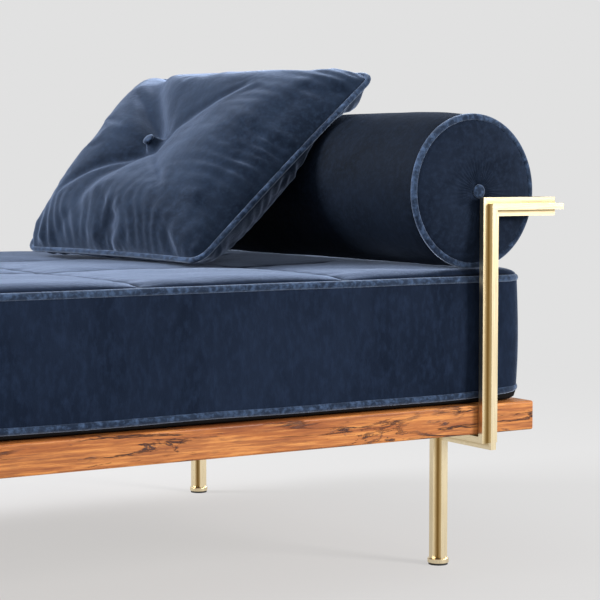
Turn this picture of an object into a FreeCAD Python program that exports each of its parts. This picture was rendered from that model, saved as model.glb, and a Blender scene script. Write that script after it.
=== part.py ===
"""Daybed: a hardwood platform on cross-section brass legs and arms, with a tufted mattress,
a bolster at each end and a loose pillow.  Millimetres, +X along the length, +Y to the back,
+Z up, origin on the floor under the middle of the bed."""
import FreeCAD, Part
import os
import Sketcher

os.makedirs("parts", exist_ok=True)
doc = FreeCAD.newDocument("daybed")

# ---------------------------------------------------------------- driving sizes, millimetres
SIZES = (
    ("mattress_length", 1900), ("mattress_depth", 950), ("mattress_height", 195),
    ("mattress_corner", 28), ("mattress_top_round", 14), ("mattress_bottom_round", 9),
    ("soft_clearance", 0.8), ("mattress_to_post", 1.5),
    ("bar_section", 27), ("bar_web", 9), ("rib_let_in", 6), ("groove_clearance", 0.2),
    ("post_inset", 89), ("leg_setback", 119), ("arm_below_bolster", 18.6), ("arm_reach", 112.5),
    ("rail_underside", 210), ("rail_thickness", 42.5), ("rail_width", 150),
    ("rail_overhang", 1), ("eased_edge", 3), ("bearer_width", 60),
    ("slat_thickness", 18), ("slat_width", 95), ("slat_clearance", 1), ("slat_edge", 2),
    ("ledger_section", 20), ("ledger_edge", 1),
    ("dowel_diameter", 10), ("dowel_length", 60), ("dowel_spacing", 30), ("dowel_below_top", 9),
    ("plate_width", 76), ("plate_length", 112), ("plate_to_rail_face", 24),
    ("screw_inset", 12), ("screw_head", 10), ("screw_shank", 5), ("screw_to_dowel", 3.5),
    ("ledger_screw_head", 7), ("ledger_screw_shank", 3.5), ("ledger_screw_length", 38),
    ("pad_height", 3), ("pad_diameter", 29), ("disc_height", 6.5), ("disc_diameter", 32),
    ("disc_edge", 0.8), ("foot_gap", 0.5), ("stud_diameter", 6), ("stud_engagement", 30),
    ("stud_seat", 4), ("running_clearance", 0.05),
    ("bolster_diameter", 214), ("bolster_end_round", 13), ("bolster_end_gap", 1),
    ("button_diameter", 20), ("button_height", 6), ("button_edge", 2.5), ("button_gap", 0.2),
    ("pillow_width", 500), ("pillow_height", 415), ("pillow_front", 58), ("pillow_back", 14),
    ("pillow_round", 30), ("pillow_offset", 65),
)
PILLOW_YAW = 10.7       # degrees, how far the pillow's near edge is turned towards the bolster
PILLOW_LEAN = 46.0      # degrees, how far the pillow leans back from upright
SLATS = 8               # half of them on each side of the middle bearer
LEDGER_SCREWS = 6       # along each ledger

sheet = doc.addObject("Spreadsheet::Sheet", "Sizes")
for row, (alias, number) in enumerate(SIZES, start=1):
    sheet.set(f"A{row}", alias)
    sheet.set(f"B{row}", str(number))
    sheet.setAlias(f"B{row}", alias)
doc.recompute()


def size(alias):
    return f"Sizes.{alias}"


def value(expression):
    """The number that an expression gives with the sheet's present sizes."""
    return float(sheet.evalExpression(str(expression)))


# ---------------------------------------------------------------- places worked out from them
HALF_BAR = f"({size('bar_section')} / 2)"
HALF_WEB = f"({size('bar_web')} / 2)"
SEATING = f"({HALF_BAR} - {size('rib_let_in')})"            # bar axis to the wood it sits on
POST_X = f"({size('mattress_length')} / 2 - {size('post_inset')})"
POST_Y = f"({size('mattress_depth')} / 2 + {size('mattress_to_post')} + {HALF_BAR})"
LEG_Y = f"({POST_Y} - {size('leg_setback')})"
ARM_X = f"({POST_X} + {size('arm_reach')})"
LOWER_ARM_Z = f"({size('rail_underside')} - {SEATING})"
PLATE_THICKNESS = f"({SEATING} - {HALF_WEB})"
RAIL_FACE_Y = f"({POST_Y} - {SEATING})"
RAIL_INNER_Y = f"({RAIL_FACE_Y} - {size('rail_width')})"
RAIL_HALF = f"({size('mattress_length')} / 2 + {size('rail_overhang')})"
RAIL_LENGTH = f"({RAIL_HALF} * 2)"
RAIL_TOP = f"({size('rail_underside')} + {size('rail_thickness')})"
END_INNER_X = f"({RAIL_HALF} - {size('rail_width')})"
GROOVE = f"({size('bar_web')} + 2 * {size('groove_clearance')})"
SCREW_LENGTH = (f"({PLATE_THICKNESS} + {size('rail_thickness')} - {size('dowel_below_top')}"
                f" - {size('dowel_diameter')} / 2 - {size('screw_to_dowel')})")
DISC_TOP = f"({size('pad_height')} + {size('disc_height')})"
LEG_BOTTOM = f"({DISC_TOP} + {size('foot_gap')})"
SLAT_BOTTOM = f"({RAIL_TOP} - {size('slat_thickness')})"
MATTRESS_BOTTOM = f"({RAIL_TOP} + {size('soft_clearance')})"
MATTRESS_TOP = f"({MATTRESS_BOTTOM} + {size('mattress_height')})"
BOLSTER_RADIUS = f"({size('bolster_diameter')} / 2)"
BOLSTER_X = f"({ARM_X} - {HALF_BAR} - {size('soft_clearance')} - {BOLSTER_RADIUS})"
BOLSTER_Z = f"({MATTRESS_TOP} + {size('soft_clearance')} + {BOLSTER_RADIUS})"
ARM_Z = f"({BOLSTER_Z} - {size('arm_below_bolster')})"
BOLSTER_END_Y = f"({POST_Y} - {HALF_BAR} - {size('bolster_end_gap')})"

SIDES = (("left", -1), ("right", 1))
EDGES = (("front", -1), ("rear", 1))
TURNS = {"x": FreeCAD.Rotation(FreeCAD.Vector(0, 1, 0), 90),
         "y": FreeCAD.Rotation(FreeCAD.Vector(1, 0, 0), -90),
         "z": FreeCAD.Rotation()}

nodes = {}
node_checks = []


# ---------------------------------------------------------------- small makers
def bind(item, **sizes):
    for name, expression in sizes.items():
        item.setExpression(name, str(expression))


def put(item, corner, rotation=None):
    """Place an object by expressions for its base point, with a fixed rotation."""
    item.Placement = FreeCAD.Placement(FreeCAD.Vector(), rotation or FreeCAD.Rotation())
    for axis, expression in zip("xyz", corner):
        item.setExpression(f"Placement.Base.{axis}", str(expression))
    return item


def box(name, corner, lengths):
    solid = doc.addObject("Part::Box", name)
    bind(solid, Length=lengths[0], Width=lengths[1], Height=lengths[2])
    return put(solid, corner)


def cylinder(name, start, radius, length, axis="z"):
    """A cylinder that starts at a point and runs along +X, +Y or +Z."""
    solid = doc.addObject("Part::Cylinder", name)
    bind(solid, Radius=radius, Height=length)
    return put(solid, start, TURNS[axis])


def fuse(name, pieces):
    joined = doc.addObject("Part::MultiFuse", name)
    joined.Shapes = pieces
    joined.Refine = True
    return joined


def group(name, pieces):
    compound = doc.addObject("Part::Compound", name)
    compound.Links = pieces
    return compound


def cut(name, base, tool):
    result = doc.addObject("Part::Cut", name)
    result.Base = base
    result.Tool = tool
    node_checks.append((result, base))
    return result


def keep(label, item):
    """Make an object a sub-part: its label names its node and its file."""
    item.Label = label
    nodes[label] = item
    return item


def edge_names(shape, test):
    return [f"Edge{i}" for i, edge in enumerate(shape.Edges, start=1) if test(edge)]


def is_upright(edge):
    start, end = edge.Vertexes[0].Point, edge.Vertexes[-1].Point
    return abs(start.z - end.z) > abs(start.x - end.x) + abs(start.y - end.y)


def padded_outline(name, length, width, thickness, corner):
    """A body with one rectangular sketch on its XY plane, padded up to its thickness."""
    body = doc.addObject("PartDesign::Body", name)
    sketch = body.newObject("Sketcher::SketchObject", name + "_outline")
    plane = next(item for item in body.Origin.OriginFeatures if item.Role == "XY_Plane")
    sketch.AttachmentSupport = [(plane, "")]
    sketch.MapMode = "FlatFace"
    across, along = value(length), value(width)
    points = [FreeCAD.Vector(*p) for p in ((0, 0), (across, 0), (across, along), (0, along))]
    for i, point in enumerate(points):
        sketch.addGeometry(Part.LineSegment(point, points[(i + 1) % 4]), False)
    for i in range(4):
        sketch.addConstraint(Sketcher.Constraint("Coincident", i, 2, (i + 1) % 4, 1))
    for i in (0, 2):
        sketch.addConstraint(Sketcher.Constraint("Horizontal", i))
        sketch.addConstraint(Sketcher.Constraint("Vertical", i + 1))
    sketch.addConstraint(Sketcher.Constraint("Coincident", 0, 1, -1, 1))
    sketch.addConstraint(Sketcher.Constraint("DistanceX", 0, 1, 0, 2, across))
    sketch.renameConstraint(sketch.ConstraintCount - 1, "length")
    sketch.addConstraint(Sketcher.Constraint("DistanceY", 1, 1, 1, 2, along))
    sketch.renameConstraint(sketch.ConstraintCount - 1, "width")
    sketch.setExpression("Constraints.length", length)
    sketch.setExpression("Constraints.width", width)
    pad = body.newObject("PartDesign::Pad", name + "_pad")
    pad.Profile = sketch
    pad.setExpression("Length", thickness)
    put(body, corner)
    doc.recompute()
    return body, pad


def rounded(body, base, name, test, radius):
    fillet = body.newObject("PartDesign::Fillet", name)
    fillet.Base = (base, edge_names(base.Shape, test))
    fillet.setExpression("Radius", radius)
    doc.recompute()
    return fillet


def board(name, length, width, thickness, corner, edge):
    """A planed board with every edge eased."""
    body, pad = padded_outline(name, length, width, thickness, corner)
    rounded(body, pad, name + "_eased", lambda any_edge: True, edge)
    return body


def rounded_solid(name, base, radius, test=lambda edge: True):
    """A Part fillet of one radius on the chosen edges of a primitive."""
    doc.recompute()
    fillet = doc.addObject("Part::Fillet", name)
    fillet.Base = base
    edges = edge_names(base.Shape, test)
    fillet.Edges = [(int(edge[4:]), value(radius), value(radius)) for edge in edges]
    return fillet


# ---------------------------------------------------------------- brass bars
# Every bar has a plus-shaped section: two flat webs that cross on the bar's axis.  At a corner
# the two bars are mitred on the plane that halves their angle.
def mitre_tool(name, corner, own_way, other_way):
    """A cube on the far side of the mitre plane through a corner."""
    outward = FreeCAD.Vector(*other_way) - FreeCAD.Vector(*own_way)
    turn = FreeCAD.Rotation(FreeCAD.Vector(1, 0, 0), outward)
    side = f"(3 * {size('bar_section')})"
    middle = turn.multVec(FreeCAD.Vector(0, 0.5, 0.5))
    tool = doc.addObject("Part::Box", name)
    bind(tool, Length=side, Width=side, Height=side)
    base = [f"{place} - ({shift}) * {side}" for place, shift in zip(corner, middle)]
    return put(tool, base, turn)


def bar(label, start, end, way_at_start=None, way_at_end=None):
    """A bar from start to end; each way is the direction of the bar it is mitred to there."""
    lows, highs = list(start), list(end)
    axis = next(i for i in range(3) if abs(value(start[i]) - value(end[i])) > 1)
    along = [0, 0, 0]
    along[axis] = 1 if value(end[axis]) > value(start[axis]) else -1
    ends = ((start, along, way_at_start), (end, [-a for a in along], way_at_end))
    if along[axis] < 0:
        lows, highs = highs, lows
    low_mitred = (way_at_start if along[axis] > 0 else way_at_end) is not None
    high_mitred = (way_at_end if along[axis] > 0 else way_at_start) is not None
    low = f"({lows[axis]} - {HALF_BAR})" if low_mitred else lows[axis]
    high = f"({highs[axis]} + {HALF_BAR})" if high_mitred else highs[axis]
    webs = []
    for thick in [i for i in range(3) if i != axis]:
        corner = [f"({place} - {HALF_BAR})" for place in lows]
        lengths = [size("bar_section")] * 3
        corner[thick] = f"({lows[thick]} - {HALF_WEB})"
        lengths[thick] = size("bar_web")
        corner[axis] = low
        lengths[axis] = f"({high} - {low})"
        webs.append(box(f"{label}_web_{'xyz'[thick]}", corner, lengths))
    solid = fuse(label + "_section", webs)
    for number, (corner, own_way, other_way) in enumerate(ends):
        if other_way is not None:
            tool = mitre_tool(f"{label}_mitre_{number}", corner, own_way, other_way)
            solid = cut(f"{label}_cut_{number}", solid, tool)
    return solid


for side, sx in SIDES:
    for edge, sy in EDGES:
        corner_name = f"{edge}_{side}"
        post_x, post_y = f"({sx} * {POST_X})", f"({sy} * {POST_Y})"
        leg_y, arm_x = f"({sy} * {LEG_Y})", f"({sx} * {ARM_X})"
        leg_top = (post_x, leg_y, LOWER_ARM_Z)
        post_foot = (post_x, post_y, LOWER_ARM_Z)
        post_top = (post_x, post_y, ARM_Z)
        arm_end = (arm_x, post_y, ARM_Z)
        down, up, out, inward, outward = (0, 0, -1), (0, 0, 1), (sx, 0, 0), (0, -sy, 0), (0, sy, 0)
        leg = bar(f"leg_{corner_name}_bar", (post_x, leg_y, LEG_BOTTOM), leg_top, None, outward)
        stud_hole = cylinder(f"leg_{corner_name}_hole", (post_x, leg_y, LEG_BOTTOM),
                             f"{size('stud_diameter')} / 2 + {size('running_clearance')}",
                             f"{size('stud_engagement')} + 4")
        keep(f"leg_{corner_name}", cut(f"leg_{corner_name}_drilled", leg, stud_hole))
        keep(f"lower_arm_{corner_name}",
             bar(f"lower_arm_{corner_name}_bar", leg_top, post_foot, down, up))
        keep(f"post_{corner_name}", bar(f"post_{corner_name}_bar", post_foot, post_top, inward, out))
        keep(f"side_bar_{corner_name}",
             bar(f"side_bar_{corner_name}_bar", post_top, arm_end, down, inward))
    keep(f"cross_bar_{side}", bar(f"cross_bar_{side}_bar", (arm_x, f"(-{POST_Y})", ARM_Z),
                                  (arm_x, POST_Y, ARM_Z), (-sx, 0, 0), (-sx, 0, 0)))


# ---------------------------------------------------------------- fasteners
def screw(name, head_point, axis, sense, head, shank, length):
    """A countersunk screw: its flat head starts at head_point and its shank runs into the wood."""
    rotation = TURNS[axis]
    if sense < 0:
        rotation = FreeCAD.Rotation(FreeCAD.Vector(1, 0, 0), 90)
    cone_height = f"(({size(head)} - {size(shank)}) / 2)"
    cone = doc.addObject("Part::Cone", name + "_head")
    bind(cone, Radius1=f"{size(head)} / 2", Radius2=f"{size(shank)} / 2", Height=cone_height)
    put(cone, head_point, rotation)
    rod = doc.addObject("Part::Cylinder", name + "_shank")
    bind(rod, Radius=f"{size(shank)} / 2", Height=f"{length} - {cone_height}")
    step = {"x": 0, "y": 1, "z": 2}[axis]
    start = list(head_point)
    start[step] = f"({head_point[step]} + ({sense}) * {cone_height})"
    put(rod, start, rotation)
    return fuse(name, [cone, rod])


# Two screws each side of the lower arm hold a plate up against the underside of the rail.
plate_start = f"({RAIL_FACE_Y} - {size('plate_to_rail_face')})"
plate_end = f"({plate_start} - {size('plate_length')})"
plate_bottom = f"({size('rail_underside')} - {PLATE_THICKNESS})"
plate_screws = []
for side, sx in SIDES:
    for edge, sy in EDGES:
        for across in (-1, 1):
            for number, at in enumerate((f"({plate_start} - {size('screw_inset')})",
                                         f"({plate_end} + {size('screw_inset')})")):
                x = f"({sx} * {POST_X} + ({across}) * ({size('plate_width')} / 2 - {size('screw_inset')}))"
                plate_screws.append(screw(f"plate_screw_{edge}_{side}_{across + 1}_{number}",
                                          (x, f"({sy} * {at})", plate_bottom), "z", 1,
                                          "screw_head", "screw_shank", SCREW_LENGTH))
plate_screw_group = keep("plate_screws", group("plate_screw_group", plate_screws))

# The ledgers are screwed to the inner faces of the two long rails.
ledger_z = f"({SLAT_BOTTOM} - {size('ledger_section')})"
ledger_screws = {}
for edge, sy in EDGES:
    ledger_screws[edge] = []
    for number in range(LEDGER_SCREWS):
        share = (2 * number + 1) / LEDGER_SCREWS - 1
        head = (f"({share}) * {END_INNER_X}", f"({sy} * ({RAIL_INNER_Y} - {size('ledger_section')}))",
                f"({ledger_z} + {size('ledger_section')} / 2)")
        ledger_screws[edge].append(screw(f"ledger_screw_{edge}_{number}", head, "y", sy,
                                         "ledger_screw_head", "ledger_screw_shank",
                                         size("ledger_screw_length")))
ledger_tools = {edge: group(f"ledger_screws_{edge}", ledger_screws[edge]) for edge, _ in EDGES}
keep("ledger_screws", group("ledger_screw_group", ledger_screws["front"] + ledger_screws["rear"]))

# Two dowels at each end of each crosswise member, half in it and half in the long rail.
dowel_places = {"end_rail_left": f"(-({END_INNER_X} + {size('rail_width')} / 2))",
                "middle_bearer": "0",
                "end_rail_right": f"({END_INNER_X} + {size('rail_width')} / 2)"}
dowels = {"front": [], "rear": [], "end_rail_left": [], "middle_bearer": [], "end_rail_right": []}
for member, middle in dowel_places.items():
    for edge, sy in EDGES:
        for across in (-0.5, 0.5):
            start = (f"({middle} + ({across}) * {size('dowel_spacing')})",
                     f"({sy} * {RAIL_INNER_Y} - {size('dowel_length')} / 2)",
                     f"({RAIL_TOP} - {size('dowel_below_top')})")
            dowel = cylinder(f"dowel_{member}_{edge}_{'ab'[across > 0]}", start,
                             f"{size('dowel_diameter')} / 2", size("dowel_length"), "y")
            dowels[edge].append(dowel)
            dowels[member].append(dowel)
keep("frame_dowels", group("dowel_group", dowels["front"] + dowels["rear"]))


# ---------------------------------------------------------------- hardwood platform
# Each long rail is one plank.  The ribs of the post and of the lower arm are let into it.
for edge, sy in EDGES:
    low_y = f"(-{RAIL_FACE_Y})" if sy < 0 else RAIL_INNER_Y
    plank = board(f"{edge}_rail_plank", RAIL_LENGTH, size("rail_width"), size("rail_thickness"),
                  (f"(-{RAIL_HALF})", low_y, size("rail_underside")), size("eased_edge"))
    tools = []
    for side, sx in SIDES:
        groove_x = f"({sx} * {POST_X} - {GROOVE} / 2)"
        face_y = f"(-{RAIL_FACE_Y})" if sy < 0 else f"({RAIL_FACE_Y} - {size('rib_let_in')})"
        tools.append(box(f"{edge}_{side}_face_groove", (groove_x, face_y, size("rail_underside")),
                         (GROOVE, size("rib_let_in"), size("rail_thickness"))))
        reach = f"({size('leg_setback')} - {SEATING} + {HALF_BAR} + {size('groove_clearance')})"
        under_y = f"(-{RAIL_FACE_Y})" if sy < 0 else f"({RAIL_FACE_Y} - {reach})"
        tools.append(box(f"{edge}_{side}_under_groove", (groove_x, under_y, size("rail_underside")),
                         (GROOVE, reach, size("rib_let_in"))))
    grooved = cut(f"{edge}_rail_grooved", plank, fuse(f"{edge}_grooves", tools))
    drilled = cut(f"{edge}_rail_drilled", grooved, plate_screw_group)
    bored = cut(f"{edge}_rail_bored", drilled, group(f"{edge}_dowels", dowels[edge]))
    keep(f"{edge}_rail", cut(f"{edge}_rail_solid", bored, ledger_tools[edge]))

# The end rails close the platform; their outer faces are flush with the ends of the long rails.
for side, sx in SIDES:
    low_x = f"(-{RAIL_HALF})" if sx < 0 else END_INNER_X
    plank = board(f"end_rail_{side}_plank", size("rail_width"), f"(2 * {RAIL_INNER_Y})",
                  size("rail_thickness"), (low_x, f"(-{RAIL_INNER_Y})", size("rail_underside")),
                  size("eased_edge"))
    keep(f"end_rail_{side}", cut(f"end_rail_{side}_solid", plank,
                                 group(f"end_rail_{side}_dowels", dowels[f"end_rail_{side}"])))

# Ledgers carry the slats; the middle bearer is notched over them.
notches = []
for edge, sy in EDGES:
    low_y = f"(-{RAIL_INNER_Y})" if sy < 0 else f"({RAIL_INNER_Y} - {size('ledger_section')})"
    strip = board(f"{edge}_ledger_strip", f"(2 * {END_INNER_X})", size("ledger_section"),
                  size("ledger_section"), (f"(-{END_INNER_X})", low_y, ledger_z), size("ledger_edge"))
    keep(f"{edge}_ledger", cut(f"{edge}_ledger_solid", strip, ledger_tools[edge]))
    notches.append(box(f"{edge}_bearer_notch", (f"(-{size('bearer_width')})", low_y, ledger_z),
                       (f"(2 * {size('bearer_width')})", size("ledger_section"),
                        size("ledger_section"))))
bearer = board("middle_bearer_plank", size("bearer_width"), f"(2 * {RAIL_INNER_Y})",
               size("rail_thickness"),
               (f"(-{size('bearer_width')} / 2)", f"(-{RAIL_INNER_Y})", size("rail_underside")),
               size("eased_edge"))
notched = cut("middle_bearer_notched", bearer, fuse("bearer_notches", notches))
keep("middle_bearer", cut("middle_bearer_solid", notched,
                          group("middle_bearer_dowels", dowels["middle_bearer"])))

# Slats lie crosswise on the ledgers with equal gaps between the end rails and the bearer.
bay = f"({END_INNER_X} - {size('bearer_width')} / 2)"
per_bay = SLATS // 2
gap = f"(({bay} - {per_bay} * {size('slat_width')}) / {per_bay + 1})"
for number in range(SLATS):
    half, place = divmod(number, per_bay)
    start = f"(-{END_INNER_X})" if half == 0 else f"({size('bearer_width')} / 2)"
    low_x = f"({start} + {gap} + {place} * ({gap} + {size('slat_width')}))"
    low_y = f"(-{RAIL_INNER_Y} + {size('slat_clearance')})"
    slat = board(f"slat_{number + 1}_board", size("slat_width"),
                 f"(2 * {RAIL_INNER_Y} - 2 * {size('slat_clearance')})", size("slat_thickness"),
                 (low_x, low_y, SLAT_BOTTOM), size("slat_edge"))
    keep(f"slat_{number + 1}", slat)

# ---------------------------------------------------------------- mounting plates and feet
slot_end = f"({LEG_Y} - {HALF_BAR} - {size('groove_clearance')})"
for side, sx in SIDES:
    for edge, sy in EDGES:
        corner_name = f"{edge}_{side}"
        low_y = f"(-{plate_start})" if sy < 0 else plate_end
        plate, _ = padded_outline(f"plate_{corner_name}_sheet", size("plate_width"),
                                  size("plate_length"), PLATE_THICKNESS,
                                  (f"({sx} * {POST_X} - {size('plate_width')} / 2)", low_y,
                                   plate_bottom))
        slot_y = f"(-{plate_start} - 1)" if sy < 0 else slot_end
        slot = box(f"plate_{corner_name}_slot", (f"({sx} * {POST_X} - {GROOVE} / 2)", slot_y,
                                                 f"({plate_bottom} - 1)"),
                   (GROOVE, f"({plate_start} - {slot_end} + 1)", f"({PLATE_THICKNESS} + 2)"))
        slotted = cut(f"plate_{corner_name}_slotted", plate, slot)
        keep(f"mounting_plate_{corner_name}",
             cut(f"plate_{corner_name}_drilled", slotted, plate_screw_group))

        centre = (f"({sx} * {POST_X})", f"({sy} * {LEG_Y})")
        stud_start = f"({DISC_TOP} - {size('stud_seat')})"
        stud_radius = f"({size('stud_diameter')} / 2)"
        stud_length = f"({size('stud_seat')} + {size('foot_gap')} + {size('stud_engagement')})"
        keep(f"foot_stud_{corner_name}", cylinder(f"stud_{corner_name}_rod", (*centre, stud_start),
                                                  stud_radius, stud_length))
        blank = cylinder(f"disc_{corner_name}_blank", (*centre, size("pad_height")),
                         f"{size('disc_diameter')} / 2", size("disc_height"))
        disc = rounded_solid(f"disc_{corner_name}_eased", blank, size("disc_edge"),
                             lambda edge: edge.Closed)
        seat = cylinder(f"disc_{corner_name}_seat", (*centre, stud_start),
                        f"{stud_radius} + {size('running_clearance')}", f"{size('stud_seat')} + 1")
        keep(f"foot_disc_{corner_name}", cut(f"disc_{corner_name}_solid", disc, seat))
        keep(f"foot_pad_{corner_name}", cylinder(f"pad_{corner_name}_rubber", (*centre, "0"),
                                                 f"{size('pad_diameter')} / 2", size("pad_height")))

# ---------------------------------------------------------------- soft goods
# The mattress is a box with rounded corners; the arms stand in front of it and behind it.
mattress, mattress_pad = padded_outline(
    "mattress_body", size("mattress_length"), size("mattress_depth"), size("mattress_height"),
    (f"(-{size('mattress_length')} / 2)", f"(-{size('mattress_depth')} / 2)", MATTRESS_BOTTOM))
corners = rounded(mattress, mattress_pad, "mattress_corners", is_upright, size("mattress_corner"))
top_edges = rounded(mattress, corners, "mattress_top_edge",
                    lambda edge: edge.BoundBox.ZMin > value(size("mattress_height")) - 0.01,
                    size("mattress_top_round"))
rounded(mattress, top_edges, "mattress_bottom_edge",
        lambda edge: edge.BoundBox.ZMax < 0.01, size("mattress_bottom_round"))
keep("mattress", mattress)


def button(name, start, rotation):
    """A covered button: a low disc whose outer rim is rounded."""
    disc = doc.addObject("Part::Cylinder", name + "_disc")
    bind(disc, Radius=f"{size('button_diameter')} / 2", Height=size("button_height"))
    put(disc, start, rotation)
    doc.recompute()
    return rounded_solid(name, disc, size("button_edge"), lambda edge: edge.Closed)


# A bolster lies across the bed inside each arm, with a covered button at both of its ends.
for side, sx in SIDES:
    centre_x = f"({sx} * {BOLSTER_X})"
    roll = cylinder(f"bolster_{side}_roll", (centre_x, f"(-{BOLSTER_END_Y})", BOLSTER_Z),
                    BOLSTER_RADIUS, f"(2 * {BOLSTER_END_Y})", "y")
    keep(f"bolster_{side}", rounded_solid(f"bolster_{side}_solid", roll, size("bolster_end_round"),
                                          lambda edge: edge.Closed))
    near = button(f"bolster_{side}_button_front",
                  (centre_x, f"(-{BOLSTER_END_Y} - {size('button_gap')} - {size('button_height')})",
                   BOLSTER_Z), TURNS["y"])
    far = button(f"bolster_{side}_button_rear",
                 (centre_x, f"({BOLSTER_END_Y} + {size('button_gap')})", BOLSTER_Z), TURNS["y"])
    keep(f"bolster_{side}_buttons", group(f"bolster_{side}_button_pair", [near, far]))

# The pillow stands on its lower edge on the mattress and leans back on the right bolster.  Its
# thickness is measured from the plane of its edge seam: pillow_front ahead, pillow_back behind.
pillow_turn = FreeCAD.Rotation(PILLOW_YAW, PILLOW_LEAN, 0)
back_way = pillow_turn.multVec(FreeCAD.Vector(1, 0, 0))
width_way = pillow_turn.multVec(FreeCAD.Vector(0, 1, 0))
up_way = pillow_turn.multVec(FreeCAD.Vector(0, 0, 1))
half_width, half_height = value(size("pillow_width")) / 2, value(size("pillow_height")) / 2
back_reach = back_way * value(size("pillow_back"))
lowest = (up_way * -half_height + back_reach).z
round_gain = value(size("pillow_round")) * (abs(back_way.z) + abs(up_way.z) - 1)
seam_z = value(MATTRESS_TOP) + value(size("soft_clearance")) - lowest - round_gain
seam_y = value(size("pillow_offset"))
# The near edge is the one that comes closest to the bolster, so its distance sets the place.
near_y = seam_y - width_way.y * half_width
stand_off = value(BOLSTER_RADIUS) + value(size("pillow_back")) + value(size("soft_clearance"))
seam_x = value(BOLSTER_X) - (stand_off + back_way.y * (seam_y - near_y)
                             + back_way.z * (seam_z - value(BOLSTER_Z))) / back_way.x
seam_centre = FreeCAD.Vector(seam_x, seam_y, seam_z)


def on_pillow(back, across, upward):
    """A point given from the middle of the pillow's seam plane along its own three ways."""
    return seam_centre + back_way * back + width_way * across + up_way * upward


slab = doc.addObject("Part::Box", "pillow_slab")
bind(slab, Length=f"{size('pillow_front')} + {size('pillow_back')}", Width=size("pillow_width"),
     Height=size("pillow_height"))
slab.Placement = FreeCAD.Placement(
    on_pillow(-value(size("pillow_front")), -half_width, -half_height), pillow_turn)
keep("pillow", rounded_solid("pillow_solid", slab, size("pillow_round")))
face_turn = pillow_turn.multiply(TURNS["x"])
button_step = value(size("button_gap")) + value(size("button_height"))
front_point = on_pillow(-value(size("pillow_front")) - button_step, 0, 0)
back_point = on_pillow(value(size("pillow_back")) + value(size("button_gap")), 0, 0)
pillow_buttons = [button("pillow_button_front", front_point, face_turn),
                  button("pillow_button_back", back_point, face_turn)]
keep("pillow_buttons", group("pillow_button_pair", pillow_buttons))

# ---------------------------------------------------------------- checks and export
doc.recompute()
for item in doc.Objects:
    if "Invalid" in item.State or "Error" in item.State:
        raise RuntimeError(f"{item.Name} did not compute: {item.State}")
for result, base in node_checks:
    if result.Shape.Volume > base.Shape.Volume - 0.01:
        raise RuntimeError(f"{result.Name} cut nothing")
for label, item in nodes.items():
    if item.Label != label or item.Shape.isNull() or not item.Shape.isValid():
        raise RuntimeError(f"{label} has no valid shape")
    item.Shape.exportStep(f"parts/{label}.step")
print(len(nodes), "sub-parts written")
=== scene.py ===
import math

import bmesh
import bpy
import numpy as np
from mathutils import Matrix, Vector, noise


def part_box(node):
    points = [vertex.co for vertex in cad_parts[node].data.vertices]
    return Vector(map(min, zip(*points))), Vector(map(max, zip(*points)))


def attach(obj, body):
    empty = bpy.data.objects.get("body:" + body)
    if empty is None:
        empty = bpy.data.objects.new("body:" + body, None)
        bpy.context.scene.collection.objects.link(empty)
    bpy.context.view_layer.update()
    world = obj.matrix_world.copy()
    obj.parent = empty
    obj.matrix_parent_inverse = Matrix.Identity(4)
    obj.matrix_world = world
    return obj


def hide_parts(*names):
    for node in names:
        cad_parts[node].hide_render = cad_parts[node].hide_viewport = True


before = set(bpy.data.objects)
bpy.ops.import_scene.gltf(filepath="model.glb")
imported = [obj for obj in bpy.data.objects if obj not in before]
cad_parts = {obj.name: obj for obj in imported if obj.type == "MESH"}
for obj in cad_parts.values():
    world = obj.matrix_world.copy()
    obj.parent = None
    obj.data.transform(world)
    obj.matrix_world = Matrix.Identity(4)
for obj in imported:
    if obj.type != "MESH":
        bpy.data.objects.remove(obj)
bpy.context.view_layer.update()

# ------------------------------------------------------------------ studio
# A pale seamless floor that fades into the backdrop, a key light from the front right, a window
# light from behind on the left, a weak light overhead, and a long-lens camera at the front left.
CAMERA_PLACE = (-0.7814, -2.6063, 0.5885)
CAMERA_YAW = math.radians(32.02)
CAMERA_PITCH = math.radians(3.96)
LENS_MM, SENSOR_MM = 111.85, 36.0
CLIP_END = 60
BACKDROP = (0.753, 0.753, 0.753, 1)
FLOOR_PAINT = (0.60, 0.588, 0.584, 1)
FLOOR_HALF = 20
FADE_NEAR, FADE_FAR = 0.9, 3.2     # distance over which the floor turns into the backdrop
FADE_START = 0.68                  # share of backdrop that the floor near the bed already has
FADE_SHIFT = (-0.2, 0, 0)
LIGHTS = (                         # name, place, aim, width, height, watts, colour
    ("key", (3.1, -4.0, 1.9), (0.7, 0, 0.4), 1.3, 1.3, 185, (1.0, 0.985, 0.96)),
    ("window", (-2.6, 1.9, 2.5), (0.5, 0, 0.5), 1.8, 1.3, 290, (0.93, 0.96, 1.0)),
    ("top", (-0.4, 0.4, 3.4), (0.2, 0.1, 0.4), 3.0, 2.0, 25, (0.95, 0.97, 1.0)),
)

camera_data = bpy.data.cameras.new("camera")
camera_data.lens = LENS_MM
camera_data.sensor_width = SENSOR_MM
camera_data.clip_end = CLIP_END
camera = bpy.data.objects.new("camera", camera_data)
camera.location = CAMERA_PLACE
camera.rotation_euler = (math.pi / 2 - CAMERA_PITCH, 0, -CAMERA_YAW)
bpy.context.collection.objects.link(camera)
bpy.context.scene.camera = camera

for name, place, aim, width, height, watts, colour in LIGHTS:
    lamp_data = bpy.data.lights.new(name, "AREA")
    lamp_data.shape = "RECTANGLE"
    lamp_data.size, lamp_data.size_y = width, height
    lamp_data.energy = watts
    lamp_data.color = colour
    lamp = bpy.data.objects.new(name, lamp_data)
    lamp.location = place
    lamp.rotation_euler = (Vector(aim) - Vector(place)).to_track_quat("-Z", "Y").to_euler()
    bpy.context.collection.objects.link(lamp)

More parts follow.
